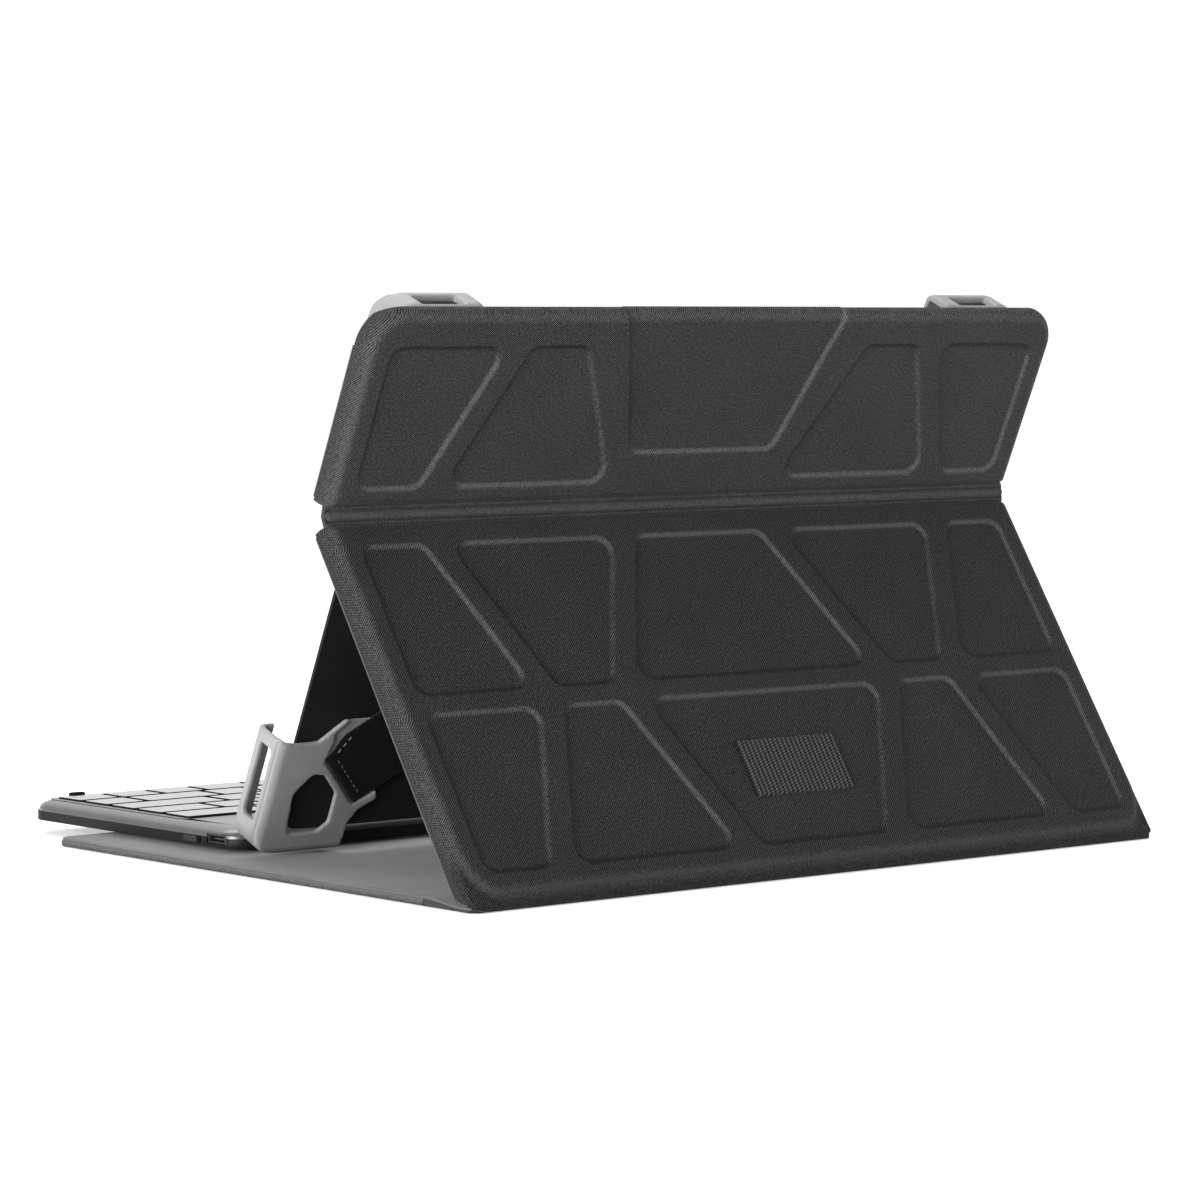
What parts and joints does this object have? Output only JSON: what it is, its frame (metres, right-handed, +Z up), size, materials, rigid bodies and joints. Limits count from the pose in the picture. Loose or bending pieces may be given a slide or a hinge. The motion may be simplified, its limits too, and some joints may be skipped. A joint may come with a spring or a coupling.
{
  "type": "tablet keyboard case",
  "caption": "Folio case for a tablet, open as a stand: moulded fabric back folded into a kickstand, elastic corner grips, flat front cover and a slim low-profile keyboard.",
  "frame": {"origin": "centre of the overall box in X and Y, on the table at Z = 0", "axes": "+X to the typist's right along the fold, +Y from the keyboard towards the kickstand, +Z up"},
  "size_m": [0.2744, 0.2464, 0.1712],
  "materials": {
    "twill_shell": "fine charcoal twill over moulded foam",
    "microfibre": "short-pile grey microfibre",
    "cover_board": "compressed board",
    "magnet_metal": "nickel plated",
    "woven_webbing": "ribbed dark grey webbing",
    "tray_plastic": "smooth black",
    "tray_lining": "black microfibre",
    "elastic": "black brushed elastic",
    "silicone": "matt grey silicone",
    "case_plastic": "fine matt black",
    "screw_steel": "blackened",
    "foot_rubber": "matt",
    "board_plastic": "solder mask",
    "cell_wrap": "foil wrap",
    "socket_metal": "bright nickel",
    "switch_plastic": "ribbed",
    "lens": "clear milky",
    "dome_rubber": "translucent silicone",
    "steel_plate": "plain",
    "membrane": "printed film",
    "key_plastic": "satin black"
  },
  "bodies": {
    "front_cover": {"cover_outer_skin": "twill_shell", "cover_board": "cover_board", "cover_magnets": "magnet_metal", "cover_lining": "microfibre"},
    "spine": {"spine_skin": "twill_shell", "spine_lining": "microfibre"},
    "lower_panel": {"lower_shell": "twill_shell", "lower_lining": "microfibre", "woven_patch": "woven_webbing", "fold_strip": "twill_shell"},
    "upper_panel": {"upper_shell": "twill_shell", "upper_lining": "microfibre", "bond_pad": "tray_plastic", "tray_board": "tray_plastic", "tray_lining": "tray_lining", "strap_hub": "elastic", "strap_top_right": "elastic", "strap_bottom_right": "elastic", "strap_top_left": "elastic", "strap_bottom_left": "elastic"},
    "grip_top_right": {"grip_top_right": "silicone"},
    "grip_bottom_right": {"grip_bottom_right": "silicone"},
    "grip_top_left": {"grip_top_left": "silicone"},
    "grip_bottom_left": {"grip_bottom_left": "silicone"},
    "keyboard": {"bottom_case": "case_plastic", "top_frame": "case_plastic", "case_screws": "screw_steel", "keyboard_feet": "foot_rubber", "dock_magnets": "magnet_metal", "circuit_board": "board_plastic", "battery": "cell_wrap", "usb_socket": "socket_metal", "status_lenses": "lens", "dome_sheet": "dome_rubber", "key_plate": "steel_plate", "membrane_circuit": "membrane"},
    "power_switch": {"power_switch": "switch_plastic"},
    "key_fn": {"key_fn": "key_plastic"},
    "key_control": {"key_control": "key_plastic"},
    "key_option": {"key_option": "key_plastic"},
    "key_meta_left": {"key_meta_left": "key_plastic"},
    "key_space": {"key_space": "key_plastic"},
    "key_meta_right": {"key_meta_right": "key_plastic"},
    "key_arrow_left": {"key_arrow_left": "key_plastic"},
    "key_arrow_down": {"key_arrow_down": "key_plastic"},
    "key_arrow_right": {"key_arrow_right": "key_plastic"},
    "key_shift_left": {"key_shift_left": "key_plastic"},
    "key_shift_right": {"key_shift_right": "key_plastic"},
    "key_arrow_up": {"key_arrow_up": "key_plastic"},
    "key_caps": {"key_caps": "key_plastic"},
    "key_enter": {"key_enter": "key_plastic"},
    "key_tab": {"key_tab": "key_plastic"},
    "key_backslash": {"key_backslash": "key_plastic"},
    "key_escape": {"key_escape": "key_plastic"},
    "key_backspace": {"key_backspace": "key_plastic"},
    "keys_row_2": {"keys_row_2": "key_plastic"},
    "keys_row_3": {"keys_row_3": "key_plastic"},
    "keys_row_4": {"keys_row_4": "key_plastic"},
    "keys_row_5": {"keys_row_5": "key_plastic"}
  },
  "joints": [
    {"name": "spine_hinge", "type": "hinge", "parent": "front_cover", "child": "spine", "pos_m": [0, 0.09959, 0.0006], "axis": [1, 0, 0], "range_deg": [0, 28]},
    {"name": "kick_hinge", "type": "hinge", "parent": "spine", "child": "lower_panel", "pos_m": [0, 0.12321, 0.0015], "axis": [1, 0, 0], "range_deg": [-84, 0]},
    {"name": "mid_fold", "type": "hinge", "parent": "lower_panel", "child": "upper_panel", "pos_m": [0, 0.05479, 0.10685], "axis": [1, 0, 0], "range_deg": [0, 56], "deforming": ["fold_strip"]},
    {"name": "stretch_top_right", "type": "slide", "parent": "upper_panel", "child": "grip_top_right", "axis": [0.7071, 0.2849, 0.6472], "range_m": [-0.005, 0.005], "stiffness_N_per_m": 120, "deforming": ["strap_top_right"]},
    {"name": "stretch_bottom_right", "type": "slide", "parent": "upper_panel", "child": "grip_bottom_right", "axis": [0.7071, -0.2849, -0.6472], "range_m": [-0.005, 0], "stiffness_N_per_m": 120, "springref_m": 0.0008, "deforming": ["strap_bottom_right"]},
    {"name": "stretch_top_left", "type": "slide", "parent": "upper_panel", "child": "grip_top_left", "axis": [-0.7071, 0.2849, 0.6472], "range_m": [-0.005, 0.005], "stiffness_N_per_m": 120, "deforming": ["strap_top_left"]},
    {"name": "stretch_bottom_left", "type": "slide", "parent": "upper_panel", "child": "grip_bottom_left", "axis": [-0.7071, -0.2849, -0.6472], "range_m": [-0.005, 0], "stiffness_N_per_m": 120, "springref_m": 0.0008, "deforming": ["strap_bottom_left"]},
    {"name": "keyboard_lift", "type": "slide", "parent": "front_cover", "child": "keyboard", "axis": [0, 0, 1], "range_m": [0, 0.03]},
    {"name": "power_slide", "type": "slide", "parent": "keyboard", "child": "power_switch", "axis": [0, 1, 0], "range_m": [0, 0.002]},
    {"name": "press_fn", "type": "slide", "parent": "keyboard", "child": "key_fn", "axis": [0, 0, 1], "range_m": [-0.0009, 0], "stiffness_N_per_m": 200, "springref_m": 0.0008, "deforming": ["dome_sheet"]},
    {"name": "press_control", "type": "slide", "parent": "keyboard", "child": "key_control", "axis": [0, 0, 1], "range_m": [-0.0009, 0], "stiffness_N_per_m": 200, "springref_m": 0.0008, "deforming": ["dome_sheet"]},
    {"name": "press_option", "type": "slide", "parent": "keyboard", "child": "key_option", "axis": [0, 0, 1], "range_m": [-0.0009, 0], "stiffness_N_per_m": 200, "springref_m": 0.0008, "deforming": ["dome_sheet"]},
    {"name": "press_meta_left", "type": "slide", "parent": "keyboard", "child": "key_meta_left", "axis": [0, 0, 1], "range_m": [-0.0009, 0], "stiffness_N_per_m": 200, "springref_m": 0.0008, "deforming": ["dome_sheet"]},
    {"name": "press_space", "type": "slide", "parent": "keyboard", "child": "key_space", "axis": [0, 0, 1], "range_m": [-0.0009, 0], "stiffness_N_per_m": 200, "springref_m": 0.0008, "deforming": ["dome_sheet"]},
    {"name": "press_meta_right", "type": "slide", "parent": "keyboard", "child": "key_meta_right", "axis": [0, 0, 1], "range_m": [-0.0009, 0], "stiffness_N_per_m": 200, "springref_m": 0.0008, "deforming": ["dome_sheet"]},
    {"name": "press_arrow_left", "type": "slide", "parent": "keyboard", "child": "key_arrow_left", "axis": [0, 0, 1], "range_m": [-0.0009, 0], "stiffness_N_per_m": 200, "springref_m": 0.0008, "deforming": ["dome_sheet"]},
    {"name": "press_arrow_down", "type": "slide", "parent": "keyboard", "child": "key_arrow_down", "axis": [0, 0, 1], "range_m": [-0.0009, 0], "stiffness_N_per_m": 200, "springref_m": 0.0008, "deforming": ["dome_sheet"]},
    {"name": "press_arrow_right", "type": "slide", "parent": "keyboard", "child": "key_arrow_right", "axis": [0, 0, 1], "range_m": [-0.0009, 0], "stiffness_N_per_m": 200, "springref_m": 0.0008, "deforming": ["dome_sheet"]},
    {"name": "press_shift_left", "type": "slide", "parent": "keyboard", "child": "key_shift_left", "axis": [0, 0, 1], "range_m": [-0.0009, 0], "stiffness_N_per_m": 200, "springref_m": 0.0008, "deforming": ["dome_sheet"]},
    {"name": "press_shift_right", "type": "slide", "parent": "keyboard", "child": "key_shift_right", "axis": [0, 0, 1], "range_m": [-0.0009, 0], "stiffness_N_per_m": 200, "springref_m": 0.0008, "deforming": ["dome_sheet"]},
    {"name": "press_arrow_up", "type": "slide", "parent": "keyboard", "child": "key_arrow_up", "axis": [0, 0, 1], "range_m": [-0.0009, 0], "stiffness_N_per_m": 200, "springref_m": 0.0008, "deforming": ["dome_sheet"]},
    {"name": "press_caps", "type": "slide", "parent": "keyboard", "child": "key_caps", "axis": [0, 0, 1], "range_m": [-0.0009, 0], "stiffness_N_per_m": 200, "springref_m": 0.0008, "deforming": ["dome_sheet"]},
    {"name": "press_enter", "type": "slide", "parent": "keyboard", "child": "key_enter", "axis": [0, 0, 1], "range_m": [-0.0009, 0], "stiffness_N_per_m": 200, "springref_m": 0.0008, "deforming": ["dome_sheet"]},
    {"name": "press_tab", "type": "slide", "parent": "keyboard", "child": "key_tab", "axis": [0, 0, 1], "range_m": [-0.0009, 0], "stiffness_N_per_m": 200, "springref_m": 0.0008, "deforming": ["dome_sheet"]},
    {"name": "press_backslash", "type": "slide", "parent": "keyboard", "child": "key_backslash", "axis": [0, 0, 1], "range_m": [-0.0009, 0], "stiffness_N_per_m": 200, "springref_m": 0.0008, "deforming": ["dome_sheet"]},
    {"name": "press_escape", "type": "slide", "parent": "keyboard", "child": "key_escape", "axis": [0, 0, 1], "range_m": [-0.0009, 0], "stiffness_N_per_m": 200, "springref_m": 0.0008, "deforming": ["dome_sheet"]},
    {"name": "press_backspace", "type": "slide", "parent": "keyboard", "child": "key_backspace", "axis": [0, 0, 1], "range_m": [-0.0009, 0], "stiffness_N_per_m": 200, "springref_m": 0.0008, "deforming": ["dome_sheet"]},
    {"name": "press_row_2", "type": "slide", "parent": "keyboard", "child": "keys_row_2", "axis": [0, 0, 1], "range_m": [-0.0009, 0], "stiffness_N_per_m": 600, "springref_m": 0.0008, "deforming": ["dome_sheet"]},
    {"name": "press_row_3", "type": "slide", "parent": "keyboard", "child": "keys_row_3", "axis": [0, 0, 1], "range_m": [-0.0009, 0], "stiffness_N_per_m": 600, "springref_m": 0.0008, "deforming": ["dome_sheet"]},
    {"name": "press_row_4", "type": "slide", "parent": "keyboard", "child": "keys_row_4", "axis": [0, 0, 1], "range_m": [-0.0009, 0], "stiffness_N_per_m": 600, "springref_m": 0.0008, "deforming": ["dome_sheet"]},
    {"name": "press_row_5", "type": "slide", "parent": "keyboard", "child": "keys_row_5", "axis": [0, 0, 1], "range_m": [-0.0009, 0], "stiffness_N_per_m": 600, "springref_m": 0.0008, "deforming": ["dome_sheet"]}
  ],
  "couplings": [
    {"joint": "spine_hinge", "follows": "mid_fold", "ratio": 0.5},
    {"joint": "kick_hinge", "follows": "mid_fold", "ratio": -1.5}
  ]
}
